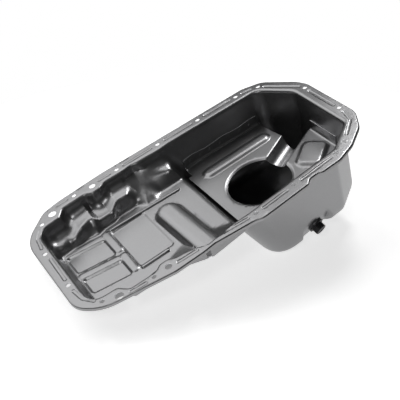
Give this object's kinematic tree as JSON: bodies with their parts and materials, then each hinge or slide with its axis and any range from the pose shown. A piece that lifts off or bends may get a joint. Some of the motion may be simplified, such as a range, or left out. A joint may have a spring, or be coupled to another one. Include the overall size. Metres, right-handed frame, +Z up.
{
  "type": "engine oil pan",
  "caption": "Pressed steel engine oil pan with a shallow front tray, deep rear sump, bolted flange with beads, welded baffle plate and side drain plug.",
  "frame": {"origin": "centre of the four end bolt holes, on the gasket face", "axes": "+X towards the deep sump end, -Y towards the side with the drain plug, +Z up, out of the open pan and square to the gasket face"},
  "size_m": [0.481, 0.2757, 0.1286],
  "materials": {
    "shell_steel": "satin grey coat on pressed steel",
    "baffle_steel": "satin grey coat on pressed steel",
    "nut_steel": "satin grey coat",
    "washer_metal": "dull grey ring",
    "plug_steel": "black coated steel, semi-gloss"
  },
  "bodies": {
    "pan": {"pan_shell": "shell_steel", "sump_baffle": "baffle_steel", "drain_nut": "nut_steel"},
    "washer": {"drain_washer": "washer_metal"},
    "plug": {"drain_plug": "plug_steel"}
  },
  "joints": [
    {"name": "drain_plug_travel", "type": "slide", "parent": "pan", "child": "washer", "axis": [0.1229, -0.8744, -0.4695], "range_m": [0, 0.012]},
    {"name": "drain_plug_turn", "type": "hinge", "parent": "washer", "child": "plug", "pos_m": [0.113, -0.097, -0.113], "axis": [0.1229, -0.8744, -0.4695], "range_deg": [0, 2880]}
  ],
  "couplings": [
    {"joint": "drain_plug_turn", "follows": "drain_plug_travel", "rad_per_m": 4188.8}
  ]
}
